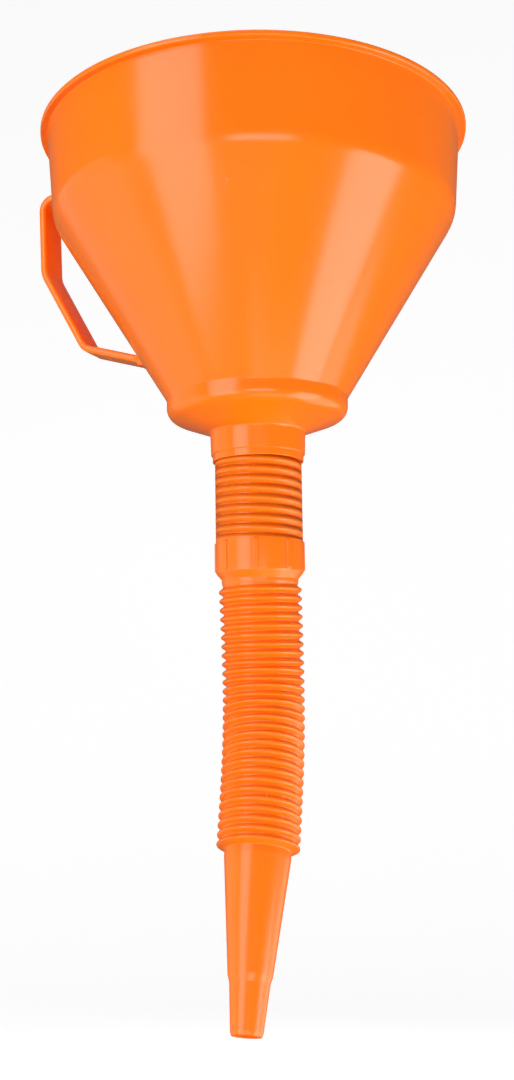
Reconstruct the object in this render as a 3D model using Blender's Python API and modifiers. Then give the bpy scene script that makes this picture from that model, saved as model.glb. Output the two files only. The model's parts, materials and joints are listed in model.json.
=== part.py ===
"""Hand funnel with a lift-out strainer and a screw-in flexible spout.

The funnel stands as it is used: bowl up, spout down, +Z up. The bowl's axis is the Z axis and
the origin is the centre of the rim's top edge. Sizes are in metres, angles in degrees.
"""
import math

import bmesh
import bpy
from mathutils import Matrix, Vector

MM = 0.001

# ---- clearances ----
FIT_GAP = 0.3 * MM  # between faces that touch on the real funnel
SLIDE_GAP = 0.4 * MM  # round the strainer
THREAD_GAP = 0.2 * MM  # round the spout's thread in the neck

# ---- bowl ----
RIM_RADIUS = 80.0 * MM
RIM_BEAD_OVERHANG = 2.5 * MM
RIM_BEAD_HEIGHT = 2.0 * MM
RIM_BEAD_ROUND = 0.9 * MM
BOWL_WALL = 1.6 * MM
WALL_DEPTH = 33.2 * MM  # rim down to the corner where the cone begins
WALL_DRAFT = 2.3 * MM  # how much narrower the wall is at that corner
WALL_CORNER_ROUND = 12.0 * MM
CONE_DEPTH = 67.6 * MM
CONE_END_ROUND = 1.5 * MM
PAN_RADIUS = 33.5 * MM  # the pan under the cone, which holds the strainer
PAN_DEPTH = 6.6 * MM
PAN_CORNER_ROUND = 6.0 * MM
PAN_FLOOR_DROP = 5.8 * MM
NECK_WALL = 1.45 * MM  # round the spout's thread
NECK_DRAFT = 0.3 * MM
NECK_LENGTH = 8.5 * MM
NECK_TOP_ROUND = 1.0 * MM
NECK_END_ROUND = 0.4 * MM
NECK_LIP_WALL = 0.6 * MM  # a thinner lip under the neck
NECK_LIP_LENGTH = 2.6 * MM
LEDGE_WIDTH = 1.8 * MM  # step inside the pan that the strainer sits on
LEDGE_DROP = 3.4 * MM  # the step lies this far under the cone's end

# ---- strainer ----
STRAINER_RING_WIDTH = 3.0 * MM
STRAINER_RING_HEIGHT = 3.0 * MM
STRAINER_RING_ROUND = 0.5 * MM
GAUZE_THICKNESS = 0.6 * MM
GAUZE_TUCK = 1.6 * MM  # how far the gauze reaches into the ring's groove

# ---- handle ----
HANDLE_AZIMUTH = 158.0  # from +X towards +Y
HANDLE_WIDTH = 13.2 * MM
HANDLE_THICKNESS = 2.8 * MM
HANDLE_REACH = 14.5 * MM  # from the bowl's wall to the handle's outer face
HANDLE_DRAFT = 1.2 * MM  # how much nearer the grip's lower end is
HANDLE_TOP = 9.5 * MM  # depth of the upper arm's middle under the rim
HANDLE_STRAIGHT_END = 41.0 * MM  # depth at which the grip turns inwards
HANDLE_BEND_DEPTH = 73.5 * MM  # depth at which it turns into the lower arm
HANDLE_BEND_REACH = 20.06 * MM  # from the cone to the strap's middle at that turn
HANDLE_FOOT_DEPTH = 81.5 * MM  # depth at which the lower arm meets the cone
HANDLE_CORNER_ROUND = 5.0 * MM
HANDLE_GRIP_ROUND = 10.0 * MM
HANDLE_EDGE_ROUND = 0.8 * MM

# ---- spout: threaded pipe and collar ----
THREAD_CREST_RADIUS = 15.95 * MM
THREAD_DEPTH = 0.6 * MM
THREAD_PITCH = 3.54 * MM
THREAD_ROOT_SHARE = 0.25  # shares of one pitch: root, rising flank and crest
THREAD_FLANK_SHARE = 0.2
THREAD_CREST_SHARE = 0.3
THREAD_WALL = 1.2 * MM  # from the thread's root to the bore
THREAD_EXPOSED = 29.0 * MM  # thread in the open between neck and collar
COLLAR_WALL = 1.85 * MM  # from the bore
COLLAR_LENGTH = 11.6 * MM
COLLAR_TAPER_LENGTH = 4.05 * MM
COLLAR_TOP_ROUND = 0.5 * MM
COLLAR_END_ROUND = 1.0 * MM
GRIP_RIBS = 8
GRIP_RIB_HEIGHT = 0.5 * MM
GRIP_RIB_WIDTH = 2.0 * MM
GRIP_RIB_LENGTH = 10.8 * MM
GRIP_RIB_SINK = 0.6 * MM  # how far a rib reaches into the collar, so that the two join
GRIP_RIB_AZIMUTH = -5.0  # of one rib, from +X towards +Y

# ---- spout: bellows ----
RINGS = 29
RING_PITCH = 3.28 * MM
CREST_RADIUS_TOP = 15.1 * MM
CREST_RADIUS_END = 14.3 * MM
BELLOWS_DEPTH = 1.5 * MM  # crest to valley
BELLOWS_WALL = 0.8 * MM
HINGE_GAP = 2.0 * MM  # left open in each valley so that the rings can tilt
CREST_LAND = 0.7 * MM

# rest curve of the spout: how far it leans, and between which rings it takes up that lean
LEAN_FORWARD = 21.0
LEAN_FORWARD_RINGS = (6, 19)
LEAN_LEFT_START = -1.35
LEAN_LEFT = 4.3
LEAN_LEFT_RINGS = (4, 27)

# ---- spout: nozzle ----
NOZZLE_TOP_RADIUS = 11.4 * MM
NOZZLE_STEP_RADIUS = 7.4 * MM
NOZZLE_SHANK_RADIUS = 6.7 * MM
NOZZLE_TIP_RADIUS = 5.3 * MM
NOZZLE_TAPER_LENGTH = 39.0 * MM
NOZZLE_STEP_LENGTH = 2.4 * MM
NOZZLE_SHANK_LENGTH = 16.0 * MM
NOZZLE_WALL = 1.1 * MM
NOZZLE_MOUTH_WALL = 1.1 * MM
NOZZLE_END_ROUND = 0.5 * MM
NOZZLE_STEP_ROUND = 1.0 * MM

# ---- how finely round things are divided ----
BOWL_STEPS = 40
SMALL_STEPS = 32
THREAD_STEPS = 24
RING_STEPS = 16
ARC_STEPS = 3
ARC_REACH = 0.49  # an arc takes up at most this share of the straight on either side of it
MERGE_DISTANCE = 0.01 * MM

# ---- sizes that follow from the ones above ----
WALL_TOP_RADIUS = RIM_RADIUS - RIM_BEAD_OVERHANG
WALL_CORNER_RADIUS = WALL_TOP_RADIUS - WALL_DRAFT
CONE_END_Z = -(WALL_DEPTH + CONE_DEPTH)
PAN_CORNER_Z = CONE_END_Z - PAN_DEPTH
NECK_TOP_Z = PAN_CORNER_Z - PAN_FLOOR_DROP
NECK_STEP_Z = NECK_TOP_Z - NECK_LENGTH
NECK_END_Z = NECK_STEP_Z - NECK_LIP_LENGTH
NECK_BORE_RADIUS = THREAD_CREST_RADIUS + THREAD_GAP
NECK_RADIUS = NECK_BORE_RADIUS + NECK_WALL
NECK_LIP_RADIUS = NECK_BORE_RADIUS + NECK_LIP_WALL
PAN_BORE_RADIUS = PAN_RADIUS - BOWL_WALL
LEDGE_Z = CONE_END_Z - LEDGE_DROP
LEDGE_RADIUS = PAN_BORE_RADIUS - LEDGE_WIDTH
THREAD_END_Z = NECK_END_Z - THREAD_EXPOSED
COLLAR_END_Z = THREAD_END_Z - FIT_GAP - COLLAR_LENGTH - COLLAR_TAPER_LENGTH
THREAD_ROOT_RADIUS = THREAD_CREST_RADIUS - THREAD_DEPTH
SPOUT_BORE_RADIUS = THREAD_ROOT_RADIUS - THREAD_WALL
COLLAR_RADIUS = SPOUT_BORE_RADIUS + COLLAR_WALL
FIRST_HINGE_Z = COLLAR_END_Z - HINGE_GAP / 2
SWIVEL_Z = NECK_END_Z  # the spout turns about a point on the axis at the neck's end


def plastic(name, colour, roughness, metallic=0.0):
    """A Principled BSDF material of one colour."""
    material = bpy.data.materials.new(name)
    material.use_nodes = True
    shader = material.node_tree.nodes["Principled BSDF"]
    shader.inputs["Base Color"].default_value = (*colour, 1.0)
    shader.inputs["Roughness"].default_value = roughness
    shader.inputs["Metallic"].default_value = metallic
    return material


def finish(name, mesh, material, place, parent=None):
    """Make the named object of a mesh whose coordinates are in its parent's frame."""
    obj = bpy.data.objects.new(name, mesh)
    obj.data.materials.append(material)
    place.objects.link(obj)
    if parent:
        obj.parent = parent
    return obj


def outline(points):
    """Turn (radius, height, rounding) corners into points, with an arc at each rounded corner."""
    result = []
    count = len(points)
    for i, (radius, height, rounding) in enumerate(points):
        corner = Vector((radius, height))
        if not rounding:
            result.append(corner)
            continue
        before = Vector(points[i - 1][:2]) - corner
        after = Vector(points[(i + 1) % count][:2]) - corner
        half = before.angle(after) / 2
        room = ARC_REACH * min(before.length, after.length)
        reach = min(rounding / math.tan(half), room)
        start = corner + before.normalized() * reach
        end = corner + after.normalized() * reach
        bow = reach * math.tan(half)
        centre = corner + (before.normalized() + after.normalized()).normalized() * math.hypot(reach, bow)
        first = start - centre
        sweep = first.angle_signed(end - centre)
        for step in range(ARC_STEPS + 1):
            turn = Matrix.Rotation(-sweep * step / ARC_STEPS, 2)
            result.append(centre + turn @ first)
    return result


def turned(name, points, steps, material, place, parent=None):
    """A closed outline turned once round Z; it runs down its outer side and up its inner side."""
    profile = outline(points)
    bm = bmesh.new()
    verts = [bm.verts.new((p.x, 0.0, p.y)) for p in profile]
    for a, b in zip(verts, verts[1:] + verts[:1]):
        bm.edges.new((a, b))
    mesh = bpy.data.meshes.new(name)
    bm.to_mesh(mesh)
    bm.free()
    obj = finish(name, mesh, material, place, parent)
    screw = obj.modifiers.new("turn", "SCREW")
    screw.axis = "Z"
    screw.steps = steps
    screw.render_steps = steps
    screw.use_merge_vertices = True
    screw.merge_threshold = MERGE_DISTANCE
    screw.use_smooth_shade = True
    return obj


def make_bowl(material, place):
    """Bowl, strainer pan and neck, as one thin shell with a beaded rim."""
    slope = (WALL_CORNER_RADIUS - PAN_RADIUS) / CONE_DEPTH
    cone_shift = BOWL_WALL * math.sqrt(1 + slope**2)
    outer = [
        (RIM_RADIUS, 0.0, RIM_BEAD_ROUND),
        (RIM_RADIUS, -RIM_BEAD_HEIGHT, RIM_BEAD_ROUND),
        (WALL_TOP_RADIUS, -RIM_BEAD_HEIGHT, 0),
        (WALL_CORNER_RADIUS, -WALL_DEPTH, WALL_CORNER_ROUND),
        (PAN_RADIUS, CONE_END_Z, CONE_END_ROUND),
        (PAN_RADIUS, PAN_CORNER_Z, PAN_CORNER_ROUND),
        (NECK_RADIUS, NECK_TOP_Z, NECK_TOP_ROUND),
        (NECK_RADIUS - NECK_DRAFT, NECK_STEP_Z, NECK_END_ROUND),
        (NECK_LIP_RADIUS, NECK_STEP_Z, 0),
        (NECK_LIP_RADIUS, NECK_END_Z, 0),
    ]
    inner = [
        (NECK_BORE_RADIUS, NECK_END_Z, 0),
        (NECK_BORE_RADIUS, NECK_TOP_Z + BOWL_WALL, 0),
        (LEDGE_RADIUS, PAN_CORNER_Z + BOWL_WALL, PAN_CORNER_ROUND - BOWL_WALL),
        (LEDGE_RADIUS, LEDGE_Z, 0),
        (PAN_BORE_RADIUS, LEDGE_Z, 0),
        (PAN_BORE_RADIUS, CONE_END_Z - (BOWL_WALL - cone_shift) / slope, 0),
        (WALL_CORNER_RADIUS - BOWL_WALL, -WALL_DEPTH, WALL_CORNER_ROUND - BOWL_WALL),
        (WALL_TOP_RADIUS - BOWL_WALL, 0.0, 0),
    ]
    return turned("funnel_bowl", outer + inner, BOWL_STEPS, material, place)


def make_strainer(plastic_look, gauze_look, place, lift):
    """A grooved ring on the pan's ledge, with a disc of gauze in its groove."""
    outside = PAN_BORE_RADIUS - SLIDE_GAP
    inside = outside - STRAINER_RING_WIDTH
    bottom = LEDGE_Z + FIT_GAP
    top = bottom + STRAINER_RING_HEIGHT
    middle = (bottom + top) / 2
    groove = GAUZE_THICKNESS / 2 + FIT_GAP
    points = [
        (outside, top, STRAINER_RING_ROUND),
        (outside, bottom, STRAINER_RING_ROUND),
        (inside, bottom, 0),
        (inside, middle - groove, 0),
        (inside + GAUZE_TUCK, middle - groove, 0),
        (inside + GAUZE_TUCK, middle + groove, 0),
        (inside, middle + groove, 0),
        (inside, top, 0),
    ]
    turned("strainer_ring", points, SMALL_STEPS, plastic_look, place, lift)
    bm = bmesh.new()
    radius = inside + GAUZE_TUCK - FIT_GAP
    bmesh.ops.create_cone(
        bm, cap_ends=True, segments=SMALL_STEPS, radius1=radius, radius2=radius, depth=GAUZE_THICKNESS
    )
    bmesh.ops.translate(bm, verts=bm.verts, vec=(0, 0, middle))
    mesh = bpy.data.meshes.new("strainer_gauze")
    bm.to_mesh(mesh)
    bm.free()
    finish("strainer_gauze", mesh, gauze_look, place, lift)


def wall_radius(depth):
    """Outer radius of the bowl's wall at a depth under the rim."""
    return WALL_TOP_RADIUS - WALL_DRAFT * depth / WALL_DEPTH


def cone_radius(depth):
    """Outer radius of the bowl's cone at a depth under the rim."""
    share = (depth - WALL_DEPTH) / CONE_DEPTH
    return WALL_CORNER_RADIUS + (PAN_RADIUS - WALL_CORNER_RADIUS) * share


def make_handle(material, place):
    """A flat strap that leaves the wall, runs down beside it and comes back to the cone."""
    half = HANDLE_THICKNESS / 2
    wall = wall_radius(HANDLE_TOP)
    grip = wall + HANDLE_REACH
    foot_start = cone_radius(HANDLE_FOOT_DEPTH)
    middle = [
        (wall, -HANDLE_TOP, 0),
        (grip - half, -HANDLE_TOP, HANDLE_CORNER_ROUND),
        (grip - half - HANDLE_DRAFT, -HANDLE_STRAIGHT_END, HANDLE_GRIP_ROUND),
        (cone_radius(HANDLE_BEND_DEPTH) + HANDLE_BEND_REACH, -HANDLE_BEND_DEPTH, HANDLE_CORNER_ROUND),
        (foot_start, -HANDLE_FOOT_DEPTH, 0),
    ]
    path = outline(middle)
    bm = bmesh.new()
    loops = []
    for i, point in enumerate(path):
        back = path[max(i - 1, 0)]
        ahead = path[min(i + 1, len(path) - 1)]
        along = (ahead - back).normalized()
        side = Vector((along.y, -along.x))
        if 0 < i < len(path) - 1:
            turn = (path[i + 1] - point).normalized().angle((point - back).normalized())
            side = side / math.cos(turn / 2)
        loop = []
        for y in (-HANDLE_WIDTH / 2, HANDLE_WIDTH / 2):
            for reach in (-half, half) if y < 0 else (half, -half):
                spot = point + side * reach
                loop.append([spot.x, y, spot.y])
        loops.append(loop)
    # the ends lie along the wall and along the cone, a gap away from them
    for spot in loops[0]:
        spot[0] = wall_radius(-spot[2]) + FIT_GAP
    for spot in loops[-1]:
        spot[0] = cone_radius(-spot[2]) + 2 * FIT_GAP
    rings = [[bm.verts.new(spot) for spot in loop] for loop in loops]
    for a, b in zip(rings, rings[1:]):
        for k in range(4):
            bm.faces.new((a[k], a[(k + 1) % 4], b[(k + 1) % 4], b[k]))
    bm.faces.new(rings[0][::-1])
    bm.faces.new(rings[-1])
    bmesh.ops.recalc_face_normals(bm, faces=bm.faces)
    mesh = bpy.data.meshes.new("carry_handle")
    bm.to_mesh(mesh)
    bm.free()
    obj = finish("carry_handle", mesh, material, place)
    obj.rotation_euler.z = math.radians(HANDLE_AZIMUTH)
    bevel = obj.modifiers.new("rounded edges", "BEVEL")
    bevel.width = HANDLE_EDGE_ROUND
    bevel.segments = 2
    bevel.limit_method = "ANGLE"
    bevel.angle_limit = math.radians(60)
    return obj


def thread_height(share):
    """Height of the thread's ridge, 0 to 1, at a share of the way along one pitch."""
    rise_end = THREAD_ROOT_SHARE + THREAD_FLANK_SHARE
    crest_end = rise_end + THREAD_CREST_SHARE
    if share < THREAD_ROOT_SHARE:
        return 0.0
    if share < rise_end:
        return (share - THREAD_ROOT_SHARE) / THREAD_FLANK_SHARE
    if share < crest_end:
        return 1.0
    return (1 - share) / (1 - crest_end)


def make_threaded_pipe(material, place, swivel):
    """A pipe whose outer side carries one right-hand thread, which runs out at both ends."""
    top = NECK_TOP_Z
    bottom = THREAD_END_Z
    rise_end = THREAD_ROOT_SHARE + THREAD_FLANK_SHARE
    marks = (0.0, THREAD_ROOT_SHARE, rise_end, rise_end + THREAD_CREST_SHARE)
    turns = math.ceil((top - bottom) / THREAD_PITCH) + 2
    middle = SPOUT_BORE_RADIUS + THREAD_WALL / 2
    bm = bmesh.new()
    known = {}

    def vertex(column, radius, height):
        key = (column % THREAD_STEPS, round(height / MM, 4), radius < middle)
        if key not in known:
            angle = math.tau * column / THREAD_STEPS
            known[key] = bm.verts.new((radius * math.cos(angle), radius * math.sin(angle), height))
        return known[key]

    def outer(row, column):
        share = marks[row % len(marks)]
        turn = row // len(marks) - 1 + share + column / THREAD_STEPS
        height = min(max(bottom + turn * THREAD_PITCH, bottom), top)
        run_out = min(1.0, (height - bottom) / THREAD_PITCH, (top - height) / THREAD_PITCH)
        ridge = THREAD_DEPTH * thread_height(share) * run_out
        return vertex(column, THREAD_ROOT_RADIUS + ridge, height)

    for row in range(turns * len(marks)):
        for column in range(THREAD_STEPS):
            corners = [
                outer(row, column),
                outer(row, column + 1),
                outer(row + 1, column + 1),
                outer(row + 1, column),
            ]
            face = list(dict.fromkeys(corners))
            if len(face) > 2:
                bm.faces.new(face)
    inner_top = [vertex(c, SPOUT_BORE_RADIUS, top) for c in range(THREAD_STEPS)]
    inner_end = [vertex(c, SPOUT_BORE_RADIUS, bottom) for c in range(THREAD_STEPS)]
    outer_top = [vertex(c, THREAD_ROOT_RADIUS, top) for c in range(THREAD_STEPS)]
    outer_end = [vertex(c, THREAD_ROOT_RADIUS, bottom) for c in range(THREAD_STEPS)]
    for c in range(THREAD_STEPS):
        n = (c + 1) % THREAD_STEPS
        bm.faces.new((inner_top[c], inner_top[n], inner_end[n], inner_end[c]))
        bm.faces.new((outer_top[c], outer_top[n], inner_top[n], inner_top[c]))
        bm.faces.new((inner_end[c], inner_end[n], outer_end[n], outer_end[c]))
    bmesh.ops.recalc_face_normals(bm, faces=bm.faces)
    mesh = bpy.data.meshes.new("spout_thread")
    bm.to_mesh(mesh)
    bm.free()
    finish("spout_thread", mesh, material, place, swivel)


def make_collar(material, place, cutters, swivel):
    """The band with grip ribs that the fingers turn the spout by, tapering to the bellows."""
    top = THREAD_END_Z - FIT_GAP
    taper = top - COLLAR_LENGTH
    end_radius = CREST_RADIUS_TOP - BELLOWS_DEPTH
    points = [
        (COLLAR_RADIUS, top, COLLAR_TOP_ROUND),
        (COLLAR_RADIUS, taper, COLLAR_END_ROUND),
        (end_radius, COLLAR_END_Z, 0),
        (end_radius - BELLOWS_WALL, COLLAR_END_Z, 0),
        (SPOUT_BORE_RADIUS, taper, 0),
        (SPOUT_BORE_RADIUS, top, 0),
    ]
    collar = turned("spout_collar", points, SMALL_STEPS, material, place, swivel)
    rib_inside = COLLAR_RADIUS - GRIP_RIB_SINK
    rib_depth = GRIP_RIB_SINK + GRIP_RIB_HEIGHT
    rib_size = (rib_depth, GRIP_RIB_WIDTH, GRIP_RIB_LENGTH)
    bm = bmesh.new()
    for rib in range(GRIP_RIBS):
        start = len(bm.verts)
        bmesh.ops.create_cube(bm, size=1.0)
        bm.verts.ensure_lookup_table()
        corners = bm.verts[start:]
        bmesh.ops.scale(bm, verts=corners, vec=rib_size)
        middle = Vector((rib_inside + rib_depth / 2, 0, (top + taper) / 2))
        bmesh.ops.translate(bm, verts=corners, vec=middle)
        angle = math.radians(GRIP_RIB_AZIMUTH) + math.tau * rib / GRIP_RIBS
        turn = Matrix.Rotation(angle, 3, "Z")
        bmesh.ops.rotate(bm, verts=corners, cent=(0, 0, 0), matrix=turn)
    mesh = bpy.data.meshes.new("grip_ribs")
    bm.to_mesh(mesh)
    bm.free()
    ribs = bpy.data.objects.new("grip_ribs", mesh)
    ribs.hide_render = True
    ribs.display_type = "WIRE"
    cutters.objects.link(ribs)
    ribs.parent = swivel
    join = collar.modifiers.new("grip ribs", "BOOLEAN")
    join.operation = "UNION"
    join.solver = "EXACT"
    join.object = ribs


def eased(ring, between):
    """0 before the first ring of the pair, 1 after the second, and a smooth rise between."""
    share = min(max((ring - between[0]) / (between[1] - between[0]), 0.0), 1.0)
    return share * share * (3 - 2 * share)


def lean_at(hinge):
    """The spout's lean below a hinge: forward at even hinges, to the left at odd ones."""
    if hinge % 2:
        return LEAN_LEFT_START + (LEAN_LEFT - LEAN_LEFT_START) * eased(hinge, LEAN_LEFT_RINGS)
    return LEAN_FORWARD * eased(hinge, LEAN_FORWARD_RINGS)


def make_bellows(material, place, guides, swivel):
    """A chain of rings, each hung on a hinge in the valley above it; the hinges cross in turn."""
    parent = swivel
    drop = FIRST_HINGE_Z - SWIVEL_Z
    for hinge in range(1, RINGS + 2):
        pivot = bpy.data.objects.new(f"hinge_{hinge:02d}", None)
        guides.objects.link(pivot)
        pivot.parent = parent
        pivot.location = (0, 0, drop)
        lean_above = lean_at(hinge - 2) if hinge > 2 else 0.0
        bend = math.radians(lean_at(hinge) - lean_above)
        if hinge % 2:
            pivot.rotation_euler = (0, bend, 0)
        else:
            pivot.rotation_euler = (-bend, 0, 0)
        drop = -RING_PITCH
        parent = pivot
        if hinge > RINGS:
            break
        share = (hinge - 1) / (RINGS - 1)
        crest = CREST_RADIUS_TOP + (CREST_RADIUS_END - CREST_RADIUS_TOP) * share
        valley = crest - BELLOWS_DEPTH
        middle = -RING_PITCH / 2
        half = (RING_PITCH - HINGE_GAP) / 2
        points = [
            (valley, middle + half, 0),
            (crest, middle + CREST_LAND / 2, 0),
            (crest, middle - CREST_LAND / 2, 0),
            (valley, middle - half, 0),
            (valley - BELLOWS_WALL, middle - half, 0),
            (crest - BELLOWS_WALL, middle, 0),
            (valley - BELLOWS_WALL, middle + half, 0),
        ]
        turned(f"spout_ring_{hinge:02d}", points, RING_STEPS, material, place, pivot)
    return parent


def make_nozzle(material, place, pivot):
    """A tapered pipe with one step, its rounded top under the last ring."""
    top = -HINGE_GAP / 2
    taper_end = top - NOZZLE_TAPER_LENGTH
    step_end = taper_end - NOZZLE_STEP_LENGTH
    tip = step_end - NOZZLE_SHANK_LENGTH
    mouth = NOZZLE_TIP_RADIUS - NOZZLE_MOUTH_WALL
    points = [
        (NOZZLE_TOP_RADIUS, top, NOZZLE_END_ROUND),
        (NOZZLE_STEP_RADIUS, taper_end, NOZZLE_STEP_ROUND),
        (NOZZLE_SHANK_RADIUS, step_end, NOZZLE_STEP_ROUND),
        (NOZZLE_TIP_RADIUS, tip, NOZZLE_END_ROUND),
        (mouth, tip, 0),
        (NOZZLE_SHANK_RADIUS - NOZZLE_WALL, step_end, 0),
        (NOZZLE_STEP_RADIUS - NOZZLE_WALL, taper_end, 0),
        (NOZZLE_TOP_RADIUS - NOZZLE_WALL, top, 0),
    ]
    turned("spout_nozzle", points, SMALL_STEPS, material, place, pivot)


def main():
    """Clear the scene and build the funnel."""
    for old in list(bpy.data.objects):
        bpy.data.objects.remove(old)
    scene = bpy.context.scene
    place = bpy.data.collections.new("funnel")
    cutters = bpy.data.collections.new("cutters")
    guides = bpy.data.collections.new("joint_axes")
    for collection in (place, cutters, guides):
        scene.collection.children.link(collection)
    orange = plastic("orange_plastic", (1.0, 0.23, 0.02), 0.35)
    brass = plastic("brass_gauze", (0.75, 0.56, 0.26), 0.35, 1.0)

    lift = bpy.data.objects.new("strainer_lift", None)
    guides.objects.link(lift)
    swivel = bpy.data.objects.new("spout_turn", None)
    swivel.location.z = SWIVEL_Z
    guides.objects.link(swivel)

    make_bowl(orange, place)
    make_handle(orange, place)
    make_strainer(orange, brass, place, lift)
    make_threaded_pipe(orange, place, swivel)
    make_collar(orange, place, cutters, swivel)
    for obj in (place.objects["spout_thread"], place.objects["spout_collar"], cutters.objects["grip_ribs"]):
        obj.location.z = -SWIVEL_Z
    last = make_bellows(orange, place, guides, swivel)
    make_nozzle(orange, place, last)
    bpy.context.view_layer.update()


main()
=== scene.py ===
# %% [markdown]
# # A pouring funnel with a bellows spout
# A funnel like this is three mouldings: a stiff bowl with its handle, a small strainer that drops into the
# bowl, and a soft spout that screws into the neck. The measured model already holds every size and every
# joint. This lesson gives it its real surfaces, one piece at a time, and leaves every size where the
# measured model has it.

# %% Load the measured model
import json
import math

import bmesh
import bpy
from mathutils import Matrix, Vector


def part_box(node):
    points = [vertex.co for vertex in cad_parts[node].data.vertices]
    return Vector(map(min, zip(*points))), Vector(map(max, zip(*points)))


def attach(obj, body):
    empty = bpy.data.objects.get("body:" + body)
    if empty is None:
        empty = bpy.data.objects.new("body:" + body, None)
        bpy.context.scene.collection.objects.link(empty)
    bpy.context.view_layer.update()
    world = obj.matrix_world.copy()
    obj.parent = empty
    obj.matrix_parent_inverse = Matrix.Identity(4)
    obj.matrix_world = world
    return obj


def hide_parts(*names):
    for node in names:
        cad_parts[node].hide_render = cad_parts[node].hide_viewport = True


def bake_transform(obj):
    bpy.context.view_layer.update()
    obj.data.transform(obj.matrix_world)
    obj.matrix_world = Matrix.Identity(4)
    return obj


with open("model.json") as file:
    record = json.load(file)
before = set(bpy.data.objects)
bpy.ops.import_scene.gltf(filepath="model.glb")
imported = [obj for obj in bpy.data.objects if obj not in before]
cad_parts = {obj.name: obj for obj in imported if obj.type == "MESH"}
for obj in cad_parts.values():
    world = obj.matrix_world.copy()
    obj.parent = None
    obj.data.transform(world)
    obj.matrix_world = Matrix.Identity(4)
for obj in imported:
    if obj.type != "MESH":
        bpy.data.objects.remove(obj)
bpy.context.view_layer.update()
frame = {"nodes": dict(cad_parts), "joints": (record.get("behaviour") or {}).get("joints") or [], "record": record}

MM = 0.001

# %% [markdown]
# ## The camera
# The funnel is seen from a little under its middle, looking slightly up, so the rim shows from below and
# the nozzle from above. The camera is set first, because everything else is judged through it.

# %% Camera
CAMERA_DISTANCE = 441.6 * MM
CAMERA_HEIGHT = -208.7 * MM
CAMERA_UP_TILT = 0.1255
CAMERA_TURN = 0.002
CAMERA_ROLL = -0.0153
FOCAL_LENGTH = 40.55
SENSOR_WIDTH = 36.0

lens = bpy.data.cameras.new("camera")
lens.lens = FOCAL_LENGTH
lens.sensor_width = SENSOR_WIDTH
lens.clip_start = 0.01
camera = bpy.data.objects.new("camera", lens)
bpy.context.scene.collection.objects.link(camera)
aim = Matrix.Rotation(CAMERA_TURN, 4, "Z") @ Matrix.Rotation(math.pi / 2 + CAMERA_UP_TILT, 4, "X")
place = Matrix.Translation((0, -CAMERA_DISTANCE, CAMERA_HEIGHT))
camera.matrix_world = place @ aim @ Matrix.Rotation(CAMERA_ROLL, 4, "Z")
bpy.context.scene.camera = camera
print("camera at", [round(v, 3) for v in camera.matrix_world.translation])

# %% [markdown]
# ## Where the spout runs
# Each ring of the bellows is a link, and each valley between two rings is a hinge. The hinges' places come
# from the measured model. A ring's middle lies halfway between its two hinges, and its crest radius is the
# furthest that its vertices reach from the line through them. Everything on the spout is built on these
# points.

# %% Hinges, ring middles and crest radii
bends = [joint for joint in frame["joints"] if "bend" in joint["name"]]
hinges = [Vector(joint["pos_m"]) for joint in bends]
middles = [(a + b) / 2 for a, b in zip(hinges, hinges[1:])]
ring_nodes = [f"spout_ring_{number:02d}" for number in range(1, len(middles) + 1)]


def reach(node, point, axis):
    """How far a node's furthest vertex is from the line through a point along an axis."""
    axis = axis.normalized()
    return max((vertex.co - point).cross(axis).length for vertex in frame["nodes"][node].data.vertices)


crests = [
    reach(node, middle, below - above)
    for node, middle, above, below in zip(ring_nodes, middles, hinges, hinges[1:])
]
ring_pitch = (hinges[1] - hinges[0]).length
tip_mount = next(mount for mount in frame["record"]["mounts"] if mount["name"] == "nozzle_tip")
nozzle_down = Vector(tip_mount["axis"]).normalized()
nozzle_length = (Vector(tip_mount["pos_m"]) - hinges[-1]).dot(nozzle_down)
print(len(middles), "rings, pitch", round(ring_pitch / MM, 2), "crests", round(crests[0] / MM, 2), "to",
      round(crests[-1] / MM, 2), "nozzle", round(nozzle_length / MM, 1))

# %% [markdown]
# ## Wiring nodes in a few words
# Node trees get long when every node and link has its own line. This small class adds a node, fills its
# inputs in order, and links any input that is itself a socket. The same class serves geometry trees and
# shader trees.

# %% A helper that wires nodes
class Wiring:
    """Adds nodes to a tree and links them as they are made."""

    def __init__(self, tree):
        self.tree = tree
        self.count = 0

    def add(self, kind, *inputs, out=0, named=None, **settings):
        """One node; inputs go to its sockets in order, named ones by name. Returns an output socket."""
        node = self.tree.nodes.new(kind)
        node.location = (220 * (self.count % 12), -200 * (self.count // 12))
        self.count += 1
        for key, value in settings.items():
            setattr(node, key, value)
        for socket, value in zip(node.inputs, inputs):
            self.fill(socket, value)
        for name, value in (named or {}).items():
            self.fill(node.inputs[name], value)
        return node.outputs[out] if len(node.outputs) else node

    def fill(self, socket, value):
        """Link a socket, or set a plain value."""
        if isinstance(value, bpy.types.NodeSocket):
            self.tree.links.new(value, socket)
        elif value is not None:
            socket.default_value = value

    def math(self, operation, *values):
        """A Math node."""
        return self.add("ShaderNodeMath", *values, operation=operation)

    def vector(self, operation, *values, out=0):
        """A Vector Math node."""
        return self.add("ShaderNodeVectorMath", *values, operation=operation, out=out)

    def scaled(self, vector, factor):
        """A vector times a number."""
        named = {"Vector": vector, "Scale": factor}
        return self.add("ShaderNodeVectorMath", operation="SCALE", named=named)

    def colours(self, share, a, b):
        """A colour between two colours."""
        mix = self.add("ShaderNodeMix", share, data_type="RGBA", out=2).node
        self.fill(mix.inputs[6], (*a, 1.0))
        self.fill(mix.inputs[7], (*b, 1.0))
        return mix.outputs[2]

    def ranged(self, value, low, high, to_low=0.0, to_high=1.0, smooth=False):
        """A value moved from one range to another, and kept inside it."""
        how = "SMOOTHSTEP" if smooth else "LINEAR"
        return self.add("ShaderNodeMapRange", value, low, high, to_low, to_high, interpolation_type=how)


print("wiring ready")

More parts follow.
